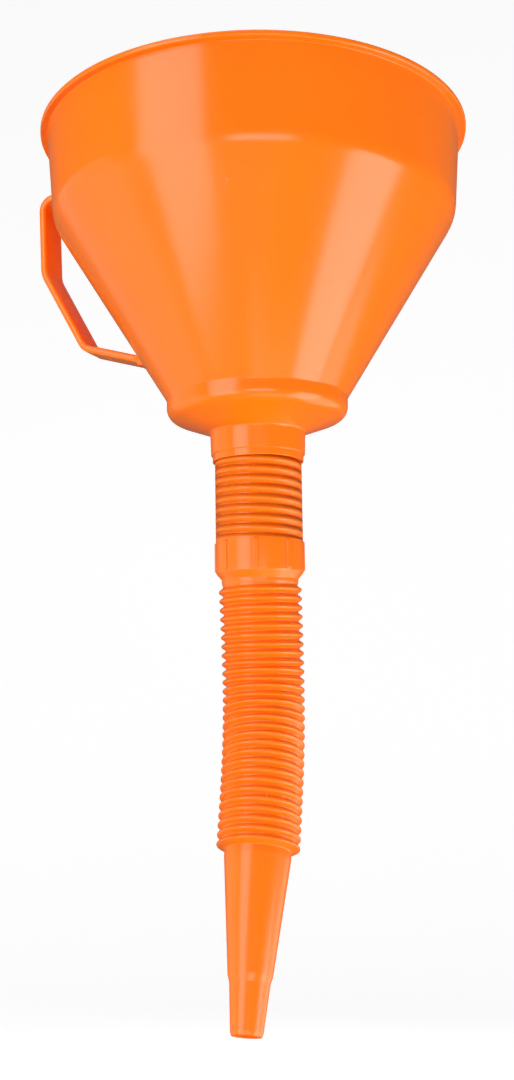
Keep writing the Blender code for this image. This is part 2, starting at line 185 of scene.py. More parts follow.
# %% Helpers for geometry trees and plain meshes
def geometry_tree(name, inputs):
    """A geometry tree with named inputs. Returns its wiring and its input sockets by name."""
    tree = bpy.data.node_groups.new(name, "GeometryNodeTree")
    tree.interface.new_socket("Geometry", in_out="OUTPUT", socket_type="NodeSocketGeometry")
    for label, kind in inputs.items():
        tree.interface.new_socket(label, in_out="INPUT", socket_type="NodeSocket" + kind)
    start = tree.nodes.new("NodeGroupInput")
    return Wiring(tree), {socket.name: socket for socket in start.outputs if socket.name}


def end_tree(wire, geometry, material):
    """Realise the instances, smooth the faces, set the material and hand the geometry out."""
    whole = wire.add("GeometryNodeRealizeInstances", geometry)
    smooth = wire.add("GeometryNodeSetShadeSmooth", whole)
    painted = wire.add("GeometryNodeSetMaterial", smooth, named={"Material": material})
    wire.add("NodeGroupOutput", painted)


def show(name, mesh):
    """A mesh as an object at the origin."""
    obj = bpy.data.objects.new(name, mesh)
    bpy.context.scene.collection.objects.link(obj)
    return obj


def applied(obj):
    """The same object with its modifiers turned into plain mesh."""
    bpy.context.view_layer.update()
    ready = obj.evaluated_get(bpy.context.evaluated_depsgraph_get())
    mesh = bpy.data.meshes.new_from_object(ready)
    old = obj.data
    obj.modifiers.clear()
    obj.data = mesh
    bpy.data.meshes.remove(old)
    mesh.name = obj.name
    return obj


def grown(name, wire, values):
    """Run a geometry tree with these input values and keep the result as a plain mesh."""
    obj = show(name, bpy.data.meshes.new(name))
    modifier = obj.modifiers.new("grow", "NODES")
    modifier.node_group = wire.tree
    for item in wire.tree.interface.items_tree:
        if item.in_out == "INPUT":
            modifier[item.identifier] = values[item.name]
    return applied(obj)


def edged(obj, degrees=35):
    """Smooth shading, with hard edges only at real corners."""
    obj.data.shade_smooth()
    obj.data.set_sharp_from_angle(angle=math.radians(degrees))
    return obj


def painted(obj, material):
    """Give a piece its one material."""
    obj.data.materials.clear()
    obj.data.materials.append(material)
    return obj


print("mesh helpers ready")

# %% [markdown]
# ## Turned shapes
# The bowl, the strainer's ring, the threaded pipe and the nozzle are all round, so each is a flat outline
# turned about its axis. An outline is a list of corners, each with its own rounding. One function puts an
# arc at every rounded corner, and the Screw modifier does the turning. A vase could be made the same way.

# %% Outlines with rounded corners, turned about Z
ARC_STEP = math.radians(9)
ARC_SHARE = 0.49
MERGE_DISTANCE = 0.005 * MM


def outline(corners, closed=True):
    """(radius, height, rounding) corners as points, with an arc at each rounded corner."""
    points = []
    for i, (radius, height, rounding) in enumerate(corners):
        corner = Vector((radius, height))
        if not rounding:
            points.append(corner)
            continue
        back = Vector(corners[i - 1][:2]) - corner
        ahead = Vector(corners[(i + 1) % len(corners)][:2]) - corner
        half = back.angle(ahead) / 2
        length = min(rounding / math.tan(half), ARC_SHARE * back.length, ARC_SHARE * ahead.length)
        away = (back.normalized() + ahead.normalized()).normalized()
        centre = corner + away * length / math.cos(half)
        first = corner + back.normalized() * length - centre
        sweep = first.angle_signed(corner + ahead.normalized() * length - centre)
        steps = max(2, math.ceil(abs(sweep) / ARC_STEP))
        points += [centre + Matrix.Rotation(-sweep * k / steps, 2) @ first for k in range(steps + 1)]
    return points


def turned(name, corners, steps, place=Matrix.Identity(4)):
    """A closed outline turned once about Z, then put in its place."""
    bm = bmesh.new()
    points = [bm.verts.new((point.x, 0, point.y)) for point in outline(corners)]
    for a, b in zip(points, points[1:] + points[:1]):
        bm.edges.new((a, b))
    mesh = bpy.data.meshes.new(name)
    bm.to_mesh(mesh)
    bm.free()
    obj = show(name, mesh)
    screw = obj.modifiers.new("turn", "SCREW")
    screw.steps = screw.render_steps = steps
    screw.use_merge_vertices = True
    screw.merge_threshold = MERGE_DISTANCE
    applied(obj)
    outwards(obj)
    obj.data.transform(place)
    return edged(obj)


def outwards(obj):
    """Turn every face of a closed mesh outwards."""
    bm = bmesh.new()
    bm.from_mesh(obj.data)
    bmesh.ops.recalc_face_normals(bm, faces=bm.faces)
    bm.to_mesh(obj.data)
    bm.free()


print("lathe ready")

# %% [markdown]
# ## The bowl
# On the real funnel the bowl, the pan under it and the neck are one injection moulding about a millimetre
# and a half thick. A steep wall under a rolled rim turns into a cone. Under the cone sits a shallow pan,
# where the strainer lies on a ledge, and under the pan a short sleeve with a thin lip takes the spout.
# Every change of direction has a radius, because plastic doesn't flow into sharp corners, and those radii
# catch the light. One turned outline holds all of it.

# %% Sizes of the bowl
BOWL_WALL = 1.6 * MM
rim_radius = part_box("funnel_bowl")[1].x
neck_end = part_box("funnel_bowl")[0].z
RIM_OVERHANG = 2.5 * MM
RIM_HEIGHT = 2.0 * MM
WALL_DEPTH = 33.2 * MM
WALL_DRAFT = 2.3 * MM
WALL_ROUND = 12.0 * MM
PAN_RADIUS = 33.5 * MM
PAN_DEPTH = 6.6 * MM
PAN_ROUND = 6.0 * MM
PAN_FLOOR_DROP = 5.8 * MM
NECK_WALL = 1.45 * MM
NECK_DRAFT = 0.3 * MM
NECK_LENGTH = 8.5 * MM
LIP_WALL = 0.6 * MM
LIP_LENGTH = 2.6 * MM
LEDGE_DROP = 3.4 * MM
LEDGE_WIDTH = 1.8 * MM
THREAD_CREST = 15.95 * MM
THREAD_GAP = 0.2 * MM

wall_top = rim_radius - RIM_OVERHANG
wall_end = wall_top - WALL_DRAFT
neck_step_z = neck_end + LIP_LENGTH
neck_top_z = neck_step_z + NECK_LENGTH
pan_corner_z = neck_top_z + PAN_FLOOR_DROP
cone_end_z = pan_corner_z + PAN_DEPTH
ledge_z = cone_end_z - LEDGE_DROP
ledge_radius = PAN_RADIUS - BOWL_WALL - LEDGE_WIDTH
cone_depth = -cone_end_z - WALL_DEPTH
bore = THREAD_CREST + THREAD_GAP
neck_radius = bore + NECK_WALL
lip_radius = bore + LIP_WALL
heights = {"cone's end": cone_end_z, "neck's end": neck_end}
print("rim", round(rim_radius / MM, 1), {name: round(z / MM, 1) for name, z in heights.items()})


# %% The bowl's outline, turned
def surface_radius(depth):
    """Outer radius of the wall or the cone at a depth under the rim."""
    if depth < WALL_DEPTH:
        return wall_top - WALL_DRAFT * depth / WALL_DEPTH
    return wall_end + (PAN_RADIUS - wall_end) * (depth - WALL_DEPTH) / cone_depth


slope = (wall_end - PAN_RADIUS) / cone_depth
cone_wall = BOWL_WALL * math.hypot(1, slope)
inner_cone_end = cone_end_z - (BOWL_WALL - cone_wall) / slope
outside = [
    # the bead round the rim
    (rim_radius - 0.5 * MM, 0, 0.45 * MM),
    (rim_radius, -0.55 * MM, 0.6 * MM),
    (rim_radius, -RIM_HEIGHT, 0.7 * MM),
    (wall_top - 0.1 * MM, -RIM_HEIGHT, 0.35 * MM),
    # the wall and the cone
    (wall_end, -WALL_DEPTH, WALL_ROUND),
    (PAN_RADIUS, cone_end_z, 1.5 * MM),
    # the pan
    (PAN_RADIUS, pan_corner_z, PAN_ROUND),
    # the neck and its lip
    (neck_radius, neck_top_z, 1.2 * MM),
    (neck_radius - NECK_DRAFT, neck_step_z, 0.4 * MM),
    (lip_radius, neck_step_z, 0.2 * MM),
    (lip_radius, neck_end, 0.35 * MM),
]
inside = [
    # the bore that takes the spout
    (bore, neck_end, 0.3 * MM),
    (bore, neck_top_z + BOWL_WALL, 0.8 * MM),
    # the pan and its ledge
    (ledge_radius, pan_corner_z + BOWL_WALL, PAN_ROUND - BOWL_WALL),
    (ledge_radius, ledge_z, 0.3 * MM),
    (PAN_RADIUS - BOWL_WALL, ledge_z, 0.3 * MM),
    # the cone, the wall and the flared mouth
    (PAN_RADIUS - BOWL_WALL, inner_cone_end, 0.8 * MM),
    (wall_end - BOWL_WALL, -WALL_DEPTH, WALL_ROUND - BOWL_WALL),
    (wall_top - BOWL_WALL - 0.1 * MM, -1.2 * MM, 1.0 * MM),
    (wall_top - BOWL_WALL + 0.5 * MM, 0, 0.4 * MM),
]
BOWL_STEPS = 192
bowl = turned("bowl_moulding", outside + inside, BOWL_STEPS)
print("bowl", len(bowl.data.polygons), "faces")

# %% [markdown]
# ## The strap handle
# The handle is moulded with the bowl: a flat strap that leaves the wall under the rim, runs down beside it
# and comes back to the cone. Its edges are rounded where the two halves of the mould meet, and both feet
# widen where they join the bowl. A cross-section is carried along a path here, and grows at both ends, so
# that the feet melt into the wall instead of butting against it.

# %% The strap's path
HANDLE_AZIMUTH = math.radians(158)
HANDLE_WIDTH = 13.2 * MM
HANDLE_THICKNESS = 2.8 * MM
HANDLE_REACH = 14.5 * MM
HANDLE_DRAFT = 1.2 * MM
HANDLE_TOP = 9.5 * MM
GRIP_END = 41.0 * MM
BEND_REACH = 20.06 * MM
BEND_DEPTH = 73.5 * MM
FOOT_DEPTH = 81.5 * MM
FOOT_SINK = 0.9 * MM
CORNER_ROUND = 5.0 * MM
GRIP_ROUND = 10.0 * MM

grip = surface_radius(HANDLE_TOP) + HANDLE_REACH - HANDLE_THICKNESS / 2
strap_corners = [
    (surface_radius(HANDLE_TOP) - FOOT_SINK, -HANDLE_TOP, 0),
    (grip, -HANDLE_TOP, CORNER_ROUND),
    (grip - HANDLE_DRAFT, -GRIP_END, GRIP_ROUND),
    (surface_radius(BEND_DEPTH) + BEND_REACH, -BEND_DEPTH, CORNER_ROUND),
    (surface_radius(FOOT_DEPTH) - FOOT_SINK, -FOOT_DEPTH, 0),
]
rounded_path = outline(strap_corners)
STRAP_STEP = 1.0 * MM


def evenly(points, step):
    """The same path with points at an even distance."""
    lengths = [0.0]
    for a, b in zip(points, points[1:]):
        lengths.append(lengths[-1] + (b - a).length)
    count = math.ceil(lengths[-1] / step)
    result = []
    segment = 0
    for k in range(count + 1):
        at = lengths[-1] * k / count
        while segment < len(points) - 2 and lengths[segment + 1] < at:
            segment += 1
        share = (at - lengths[segment]) / (lengths[segment + 1] - lengths[segment])
        result.append(points[segment].lerp(points[segment + 1], share))
    return result


strap_path = evenly(rounded_path, STRAP_STEP)
print("strap path", len(strap_path), "points")


# %% The strap, carried along its path
def rounded_box(half_width, half_height, rounding, steps=5):
    """Corner points of a rounded rectangle, going round once."""
    points = []
    for quarter, (sx, sy) in enumerate([(1, 1), (-1, 1), (-1, -1), (1, -1)]):
        for k in range(steps + 1):
            angle = math.pi / 2 * (quarter + k / steps)
            x = sx * (half_width - rounding) + rounding * math.cos(angle)
            y = sy * (half_height - rounding) + rounding * math.sin(angle)
            points.append((x, y))
    return points


FOOT_FLARE = 1.5 * MM
FLARE_LENGTH = 2.6 * MM
EDGE_ROUND = 1.1 * MM
HANDLE_EDGE_ANGLE = 50


def on_bowl(spot):
    """Move a foot's point to just under the bowl's surface."""
    x, y, z = spot
    radius = surface_radius(-z) - FOOT_SINK
    return (math.sqrt(radius**2 - y**2), y, z)


def strap():
    """The handle's mesh: rounded sections along the path, wider at both feet."""
    bm = bmesh.new()
    rings = []
    last = len(strap_path) - 1
    for i, point in enumerate(strap_path):
        along = (strap_path[min(i + 1, last)] - strap_path[max(i - 1, 0)]).normalized()
        across = Vector((along.y, -along.x))
        depth_in = min(i, last - i) * STRAP_STEP - FOOT_SINK
        share = min(max(1 - depth_in / FLARE_LENGTH, 0), 1)
        flare = FOOT_FLARE * (1 - math.sqrt(1 - share * share))
        section = rounded_box(HANDLE_WIDTH / 2 + flare, HANDLE_THICKNESS / 2 + flare, EDGE_ROUND)
        spots = [(point.x + across.x * up, side, point.y + across.y * up) for side, up in section]
        if i in (0, last):
            spots = [on_bowl(spot) for spot in spots]
        rings.append([bm.verts.new(spot) for spot in spots])
    for a, b in zip(rings, rings[1:]):
        for k in range(len(a)):
            n = (k + 1) % len(a)
            bm.faces.new((a[k], a[n], b[n], b[k]))
    bm.faces.new(rings[0][::-1])
    bm.faces.new(rings[-1])
    mesh = bpy.data.meshes.new("strap_handle")
    bm.to_mesh(mesh)
    bm.free()
    return mesh


handle = show("strap_handle", strap())
outwards(handle)
handle.data.transform(Matrix.Rotation(HANDLE_AZIMUTH, 4, "Z"))
edged(handle, HANDLE_EDGE_ANGLE)
print("handle", len(handle.data.polygons), "faces")

# %% [markdown]
# ## The strainer
# A ring with a groove round its inside holds a disc of brass gauze and drops onto the ledge in the pan. It
# keeps grit out of the liquid and lifts out to be rinsed. The ring is turned like the bowl. Its place comes
# from the box of the measured ring.

# %% Strainer ring
RING_WIDTH = 3.0 * MM
GROOVE_DEPTH = 1.6 * MM
GROOVE_HALF = 0.45 * MM
ring_low, ring_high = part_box("strainer_ring")
ring_outer = ring_high.x
ring_inner = ring_outer - RING_WIDTH
gauze_z = (ring_low.z + ring_high.z) / 2
RING_STEPS = 128
ring_corners = [
    (ring_outer, ring_high.z, 0.6 * MM),
    (ring_outer, ring_low.z, 0.6 * MM),
    (ring_inner, ring_low.z, 0.5 * MM),
    # the groove that holds the gauze
    (ring_inner, gauze_z - GROOVE_HALF, 0.15 * MM),
    (ring_inner + GROOVE_DEPTH, gauze_z - GROOVE_HALF, 0),
    (ring_inner + GROOVE_DEPTH, gauze_z + GROOVE_HALF, 0),
    (ring_inner, gauze_z + GROOVE_HALF, 0.15 * MM),
    (ring_inner, ring_high.z, 0.7 * MM),
]
strainer = turned("strainer_rim", ring_corners, RING_STEPS)
print("strainer ring", round(ring_outer / MM, 1), "mm, gauze at", round(gauze_z / MM, 1))

# %% [markdown]
# ## Woven gauze
# Gauze is a plain weave: each wire goes over one crossing wire and under the next, and its neighbour does
# the opposite. One wire is a row of points whose height follows a cosine of x + y, so the neighbours come
# out opposite by themselves. The second set is the first one turned by a quarter and flipped. Points
# outside the disc are removed before the wires get their thickness, so that each wire ends inside the
# ring's groove.

# %% A tree that weaves a disc of wire
weave, given = geometry_tree(
    "gauze_weave",
    {"Radius": "Float", "Pitch": "Float", "Wire": "Float", "Height": "Float", "Material": "Material"},
)
across = weave.math("CEIL", weave.math("DIVIDE", given["Radius"], given["Pitch"]))
count = weave.math("ADD", weave.math("MULTIPLY", across, 2.0), 1.0)
first = weave.math("MULTIPLY", across, weave.math("MULTIPLY", given["Pitch"], -1.0))
step_x = weave.add("ShaderNodeCombineXYZ", given["Pitch"])
step_y = weave.add("ShaderNodeCombineXYZ", 0.0, given["Pitch"])
start_x = weave.add("ShaderNodeCombineXYZ", first)
start_y = weave.add("ShaderNodeCombineXYZ", 0.0, first)
row = {"Count": count, "Start Location": start_x, "Offset": step_x}
column = {"Count": count, "Start Location": start_y, "Offset": step_y}
one_wire = weave.add("GeometryNodeMeshToCurve", weave.add("GeometryNodeMeshLine", named=row))
wires = weave.add("GeometryNodeInstanceOnPoints", weave.add("GeometryNodeMeshLine", named=column),
                  named={"Instance": one_wire})
wires = weave.add("GeometryNodeRealizeInstances", wires)
at = weave.add("ShaderNodeSeparateXYZ", weave.add("GeometryNodeInputPosition"))
at_y = at.node.outputs["Y"]
phase = weave.math("MULTIPLY", weave.math("DIVIDE", weave.math("ADD", at, at_y), given["Pitch"]), math.pi)
lift = weave.math("MULTIPLY", weave.math("COSINE", phase), given["Wire"])
offset = weave.add("ShaderNodeCombineXYZ", 0.0, 0.0, lift)
wires = weave.add("GeometryNodeSetPosition", wires, named={"Offset": offset})
squares = [weave.math("POWER", value, 2.0) for value in (at, at_y)]
away = weave.math("SQRT", weave.math("ADD", *squares))
beyond = weave.add("FunctionNodeCompare", away, given["Radius"], operation="GREATER_THAN")
wires = weave.add("GeometryNodeDeleteGeometry", wires, beyond, domain="POINT")
other = weave.add("GeometryNodeTransform", wires,
                  named={"Rotation": (0, 0, math.pi / 2), "Scale": (1, 1, -1)})
both = weave.add("GeometryNodeJoinGeometry")
weave.tree.links.new(wires, both.node.inputs[0])
weave.tree.links.new(other, both.node.inputs[0])
WIRE_SIDES = 6
circle = {"Resolution": WIRE_SIDES, "Radius": given["Wire"]}
section = weave.add("GeometryNodeCurvePrimitiveCircle", named=circle)
mesh = weave.add("GeometryNodeCurveToMesh", both, section, named={"Fill Caps": True})
height = weave.add("ShaderNodeCombineXYZ", 0.0, 0.0, given["Height"])
raised = weave.add("GeometryNodeTransform", mesh, named={"Translation": height})
end_tree(weave, raised, given["Material"])
print("gauze tree", len(weave.tree.nodes), "nodes")

# %% [markdown]
# ## The threaded pipe and the collar
# The top of the spout is one blow moulding: a pipe with a coarse thread, then a smooth collar with ribs for
# the fingers. The pipe and the collar are turned from one outline. The thread and the ribs are laid on it,
# because they don't go round evenly.

# %% Pipe and collar
THREAD_ROOT = 15.35 * MM
THREAD_PITCH = 3.54 * MM
PIPE_WALL = 1.2 * MM
COLLAR_WALL = 1.85 * MM
COLLAR_LENGTH = 11.6 * MM
BELLOWS_WALL = 0.8 * MM
BELLOWS_DEPTH = 1.5 * MM
PIPE_END_STEP = 0.35 * MM
PIPE_END_STRAIGHT = 0.9 * MM
PIPE_STEPS = 128
pipe_low, pipe_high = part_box("spout_thread")
collar_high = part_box("spout_collar")[1]
top_bend = hinges[0] + Vector((0, 0, ring_pitch / 2))
last_bend = hinges[-1] + nozzle_down * ring_pitch / 2
first_valley = crests[0] - BELLOWS_DEPTH
pipe_end = first_valley + PIPE_END_STEP
taper_z = collar_high.z - COLLAR_LENGTH
pipe_bore = THREAD_ROOT - PIPE_WALL
collar_radius = pipe_bore + COLLAR_WALL
straight_z = top_bend.z + PIPE_END_STRAIGHT
pipe_corners = [
    (THREAD_ROOT, pipe_high.z, 0.4 * MM),
    (THREAD_ROOT, collar_high.z, 0.3 * MM),
    # the collar and its taper
    (collar_radius, collar_high.z, 0.45 * MM),
    (collar_radius, taper_z, 1.6 * MM),
    (pipe_end, straight_z, 0.9 * MM),
    (pipe_end, top_bend.z, 0),
    # back up the inside
    (pipe_end - BELLOWS_WALL, top_bend.z, 0),
    (pipe_end - BELLOWS_WALL, straight_z, 0.9 * MM),
    (pipe_bore, taper_z, 1.0 * MM),
    (pipe_bore, pipe_high.z, 0.4 * MM),
]
pipe = turned("spout_pipe_and_collar", pipe_corners, PIPE_STEPS)
print("pipe", round((pipe_high.z - top_bend.z) / MM, 1), "mm long")

# %% [markdown]
# ## The thread
# A blow-moulded thread is a low, broad ridge with sloping sides. In Geometry Nodes it's a spiral that
# carries a trapezoid. A moulded thread also rises out of the pipe and sinks back into it, so the trapezoid
# shrinks at both ends.

# %% A tree that lays a ridge along a spiral
THREAD_FOOT_SHARE = 0.84
THREAD_CREST_SHARE = 0.26
RUN_OUT_TURNS = 0.6
RUN_OUT_LEAST = 0.15
ridge_tree, given = geometry_tree("thread_ridge", {
    "Radius": "Float", "Turns": "Float", "Pitch": "Float", "Depth": "Float",
    "Start": "Vector", "Angle": "Float", "Steps": "Int", "Material": "Material",
})
rise = ridge_tree.math("MULTIPLY", given["Turns"], given["Pitch"])
spiral_sizes = (given["Steps"], given["Turns"], given["Radius"], given["Radius"], rise)
spiral = ridge_tree.add("GeometryNodeCurveSpiral", *spiral_sizes)
spiral = ridge_tree.add("GeometryNodeSetCurveNormal", spiral, mode="Z_UP")
share = ridge_tree.add("GeometryNodeSplineParameter")
from_start = ridge_tree.math("MULTIPLY", share, given["Turns"])
from_end = ridge_tree.math("SUBTRACT", given["Turns"], from_start)
nearer_end = ridge_tree.math("MINIMUM", from_start, from_end)
run_out = ridge_tree.ranged(nearer_end, 0.0, RUN_OUT_TURNS, RUN_OUT_LEAST, 1.0, smooth=True)
spiral = ridge_tree.add("GeometryNodeSetCurveRadius", spiral, named={"Radius": run_out})
section = {
    "Height": ridge_tree.math("MULTIPLY", given["Depth"], 2.0),
    "Bottom Width": ridge_tree.math("MULTIPLY", given["Pitch"], THREAD_FOOT_SHARE),
    "Top Width": ridge_tree.math("MULTIPLY", given["Pitch"], THREAD_CREST_SHARE),
    "Offset": 0.0,
}
trapezoid = ridge_tree.add("GeometryNodeCurvePrimitiveQuadrilateral", mode="TRAPEZOID", named=section)
trapezoid = ridge_tree.add("GeometryNodeTransform", trapezoid, named={"Rotation": (0, 0, -math.pi / 2)})
ridge = ridge_tree.add("GeometryNodeCurveToMesh", spiral, trapezoid, named={"Fill Caps": True})
laid = {
    "Translation": given["Start"],
    "Rotation": ridge_tree.add("ShaderNodeCombineXYZ", 0.0, 0.0, given["Angle"]),
}
ridge = ridge_tree.add("GeometryNodeTransform", ridge, named=laid)
end_tree(ridge_tree, ridge, given["Material"])
print("thread tree", len(ridge_tree.tree.nodes), "nodes")

# %% [markdown]
# ## Grip ribs
# Eight bars round the collar give the fingers something to turn. A bar is a finely divided block whose
# points are pulled back to a smaller inner block and pushed out again by the rounding: flat faces stay
# flat, and edges and corners turn round. Instances put one at each of the eight places.

# %% A tree that sets rounded bars round a circle
ribs_tree, given = geometry_tree("grip_ribs", {
    "Count": "Int", "Radius": "Float", "Size": "Vector", "Rounding": "Float",
    "Height": "Float", "Angle": "Float", "Material": "Material",
})
BAR_POINTS = (9, 13, 33)
block = ribs_tree.add("GeometryNodeMeshCube", given["Size"], *BAR_POINTS)
spot = ribs_tree.add("GeometryNodeInputPosition")
half = ribs_tree.scaled(given["Size"], 0.5)
margin = ribs_tree.add("ShaderNodeCombineXYZ", *[given["Rounding"]] * 3)
inner = ribs_tree.vector("SUBTRACT", half, margin)
capped = ribs_tree.vector("MINIMUM", spot, inner)
kept = ribs_tree.vector("MAXIMUM", capped, ribs_tree.scaled(inner, -1.0))
push = ribs_tree.vector("NORMALIZE", ribs_tree.vector("SUBTRACT", spot, kept))
rounded = ribs_tree.vector("ADD", kept, ribs_tree.vector("MULTIPLY", push, margin))
block = ribs_tree.add("GeometryNodeSetPosition", block, named={"Position": rounded})
index = ribs_tree.add("GeometryNodeInputIndex")
part = ribs_tree.math("DIVIDE", math.tau, given["Count"])
angle = ribs_tree.math("ADD", ribs_tree.math("MULTIPLY", index, part), given["Angle"])
point = ribs_tree.add(
    "ShaderNodeCombineXYZ",
    ribs_tree.math("MULTIPLY", ribs_tree.math("COSINE", angle), given["Radius"]),
    ribs_tree.math("MULTIPLY", ribs_tree.math("SINE", angle), given["Radius"]),
    given["Height"],
)
places = ribs_tree.add("GeometryNodePoints", given["Count"], point)
turn = ribs_tree.add("ShaderNodeCombineXYZ", 0.0, 0.0, angle)
bars = ribs_tree.add("GeometryNodeInstanceOnPoints", places, named={"Instance": block, "Rotation": turn})
end_tree(ribs_tree, bars, given["Material"])
print("rib tree", len(ribs_tree.tree.nodes), "nodes")

# %% [markdown]
# ## The bellows
# The bellows is what lets the spout bend: twenty-nine rings with a thin valley between each two. Bending
# opens the valleys on one side and closes them on the other, and the crests keep their shape. So the skin
# is cut at the crests. Each piece runs from the middle of one ring, through the hinge in the valley, to the
# middle of the next, and bends between those two rings. The seam sits where the skin runs straight for a
# moment, so it doesn't show.

# %% A tree that makes the skin across one valley
skin_tree, given = geometry_tree("bellows_skin", {
    "Start": "Vector", "Hinge": "Vector", "End": "Vector",
    "Start Radius": "Float", "Valley Radius": "Float", "End Radius": "Float",
    "Valley Sharpness": "Float", "Around": "Int", "Along": "Int", "Material": "Material",
})
unit_tube = (given["Around"], given["Along"], 1, 1.0, 1.0)
tube = skin_tree.add("GeometryNodeMeshCylinder", *unit_tube, fill_type="NONE")
xyz = skin_tree.add("ShaderNodeSeparateXYZ", skin_tree.add("GeometryNodeInputPosition")).node.outputs
along = skin_tree.math("SUBTRACT", 0.5, xyz["Z"])
to_hinge = skin_tree.vector("SUBTRACT", given["Hinge"], given["Start"])
from_hinge = skin_tree.vector("SUBTRACT", given["End"], given["Hinge"])


def between(a, b):
    """The point at `along` between two points."""
    return skin_tree.vector("ADD", a, skin_tree.scaled(skin_tree.vector("SUBTRACT", b, a), along))


first_leg = between(given["Start"], given["Hinge"])
centre = between(first_leg, between(given["Hinge"], given["End"]))
heading = skin_tree.vector("NORMALIZE", between(to_hinge, from_hinge))
side_y = skin_tree.vector("NORMALIZE", skin_tree.vector("CROSS_PRODUCT", (1.0, 0.0, 0.0), heading))
side_x = skin_tree.vector("CROSS_PRODUCT", heading, side_y)
lower = skin_tree.math("GREATER_THAN", along, 0.5)
change = skin_tree.math("SUBTRACT", given["End Radius"], given["Start Radius"])
crest = skin_tree.math("ADD", given["Start Radius"], skin_tree.math("MULTIPLY", lower, change))
wave = skin_tree.math("COSINE", skin_tree.math("MULTIPLY", along, math.tau))
hollow = skin_tree.math("MULTIPLY", skin_tree.math("SUBTRACT", 1.0, wave), 0.5)
dip = skin_tree.math("POWER", hollow, given["Valley Sharpness"])
fall = skin_tree.math("MULTIPLY", skin_tree.math("SUBTRACT", crest, given["Valley Radius"]), dip)
radius = skin_tree.math("SUBTRACT", crest, fall)
ray = skin_tree.vector("ADD", skin_tree.scaled(side_x, xyz["X"]), skin_tree.scaled(side_y, xyz["Y"]))
position = skin_tree.vector("ADD", centre, skin_tree.scaled(ray, radius))
skin = skin_tree.add("GeometryNodeSetPosition", tube, named={"Position": position})
end_tree(skin_tree, skin, given["Material"])
print("bellows tree", len(skin_tree.tree.nodes), "nodes")

# %% [markdown]
# ## The nozzle
# Under the last ring the spout narrows to a long tapered nozzle with one step, which stops it in a filler
# pipe. Its end is trimmed and slightly rounded. It's turned about Z like the other round pieces, and then
# tilted onto its own line.

# %% Nozzle
NOZZLE_TOP = 11.4 * MM
STEP_RADIUS = 7.4 * MM
SHANK_RADIUS = 6.7 * MM
TIP_RADIUS = 5.3 * MM
STEP_LENGTH = 2.4 * MM
SHANK_LENGTH = 16.0 * MM
NOZZLE_WALL = 1.1 * MM
NOZZLE_SHOULDER = 0.5 * MM
TIP_BAND = 1.3 * MM
TIP_BAND_RISE = 0.08 * MM
TIP_BAND_FALL = 0.35 * MM
NOZZLE_STEPS = 96
nozzle_start = -ring_pitch / 2
shoulder = nozzle_start - NOZZLE_SHOULDER
shank_top = -(nozzle_length - SHANK_LENGTH)
nozzle_corners = [
    (NOZZLE_TOP, nozzle_start, 0),
    (NOZZLE_TOP, shoulder, 0.4 * MM),
    (STEP_RADIUS, shank_top + STEP_LENGTH, 1.2 * MM),
    (SHANK_RADIUS, shank_top, 1.2 * MM),
    # the trimmed and rounded mouth
    (TIP_RADIUS + TIP_BAND_RISE, -nozzle_length + TIP_BAND, 0.5 * MM),
    (TIP_RADIUS - TIP_BAND_FALL, -nozzle_length, 0.3 * MM),
    (TIP_RADIUS - NOZZLE_WALL, -nozzle_length, 0.25 * MM),
    # back up the inside
    (SHANK_RADIUS - NOZZLE_WALL, shank_top, 1.0 * MM),
    (STEP_RADIUS - NOZZLE_WALL, shank_top + STEP_LENGTH, 1.0 * MM),
    (NOZZLE_TOP - NOZZLE_WALL, shoulder, 0),
    (NOZZLE_TOP - BELLOWS_WALL, nozzle_start, 0),
]
tilt = Vector((0, 0, -1)).rotation_difference(nozzle_down).to_matrix().to_4x4()
nozzle_place = Matrix.Translation(hinges[-1]) @ tilt
nozzle = turned("nozzle_moulding", nozzle_corners, NOZZLE_STEPS, nozzle_place)
print("nozzle", round(nozzle_length / MM, 1), "mm long")

# %% [markdown]
# ## Surface effects that several finishes share
# All of the plastic comes from the same kind of mould, so the same three effects show on all of it: a very
# fine grain from the mould's own finish, a slow change of colour where the melt flowed, and small scuffs
# from use. Each one is a shader node group with named sockets, made once. A group puts out only a value or
# a colour.

# %% Shared effects
def effect(name, inputs, outputs):
    """A shader node group with named sockets. Returns its wiring and its inputs by name."""
    tree = bpy.data.node_groups.new(name, "ShaderNodeTree")
    for label, (kind, value) in inputs.items():
        socket = tree.interface.new_socket(label, in_out="INPUT", socket_type="NodeSocket" + kind)
        if value is not None:
            socket.default_value = value
    for label, kind in outputs.items():
        tree.interface.new_socket(label, in_out="OUTPUT", socket_type="NodeSocket" + kind)
    start = tree.nodes.new("NodeGroupInput")
    return Wiring(tree), {socket.name: socket for socket in start.outputs if socket.name}


def noise(wire, position, scale, detail=2.0, roughness=0.5):
    """A Noise Texture's value."""
    named = {"Vector": position, "Scale": scale, "Detail": detail, "Roughness": roughness}
    return wire.add("ShaderNodeTexNoise", named=named, out="Fac")


def squeezed(wire, position, x, y, z):
    """A position whose axes are stretched, for patterns that run one way."""
    return wire.vector("MULTIPLY", position, (x, y, z))


# the mould's fine grain, as a height
sockets = {"Position": ("Vector", None), "Scale": ("Float", 900.0)}
grain, given = effect("mould_grain", sockets, {"Height": "Float"})
fine = noise(grain, given["Position"], given["Scale"], 3.0, 0.6)
broad = noise(grain, given["Position"], grain.math("MULTIPLY", given["Scale"], 0.13), 2.0)
grain.add("NodeGroupOutput", grain.math("ADD", grain.math("MULTIPLY", fine, 0.6), broad))

